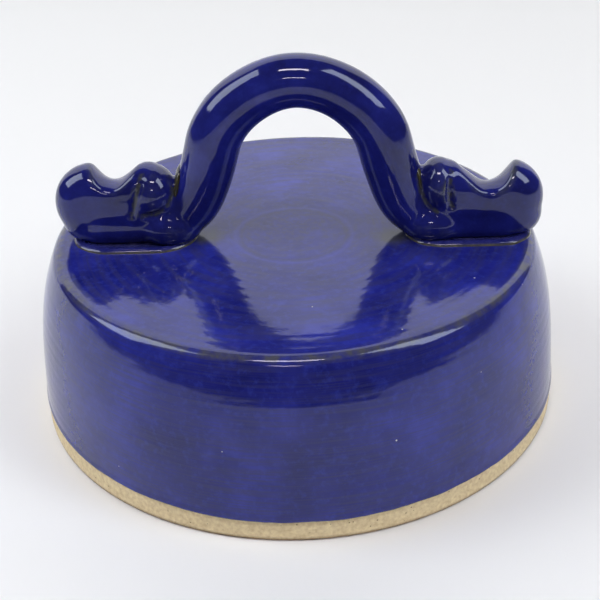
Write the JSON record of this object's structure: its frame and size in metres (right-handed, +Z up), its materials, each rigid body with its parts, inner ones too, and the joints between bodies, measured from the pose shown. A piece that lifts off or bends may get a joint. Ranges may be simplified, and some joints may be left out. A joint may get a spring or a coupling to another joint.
{
  "type": "butter crock bell",
  "caption": "Wheel-thrown stoneware bell with a glazed wall and top, a bare clay rim, and an arched coil handle whose folded ends curl back against its legs.",
  "frame": {"origin": "middle of the rim, on the surface that the bell stands on", "axes": "+Z up through the middle of the bell, +X along the handle to its right end, +Y to the back"},
  "size_m": [0.16, 0.16, 0.1077],
  "materials": {
    "bare_stoneware": "unglazed buff stoneware, matt and slightly sandy",
    "cobalt_glaze": "glossy cobalt glaze, darker where thick and grey-brown where it breaks over edges",
    "inner_glaze": "glossy cobalt glaze, thinner and more even than the outside",
    "glazed_slip": "glossy glaze thinned to an olive-grey edge over luting slip"
  },
  "bodies": {
    "root": {"bell_body": "bare_stoneware", "outer_glaze": "cobalt_glaze", "inner_glaze": "inner_glaze", "handle_coil": "cobalt_glaze", "left_foot_slip": "glazed_slip", "right_foot_slip": "glazed_slip", "left_tip_slip": "glazed_slip", "right_tip_slip": "glazed_slip"}
  },
  "joints": []
}
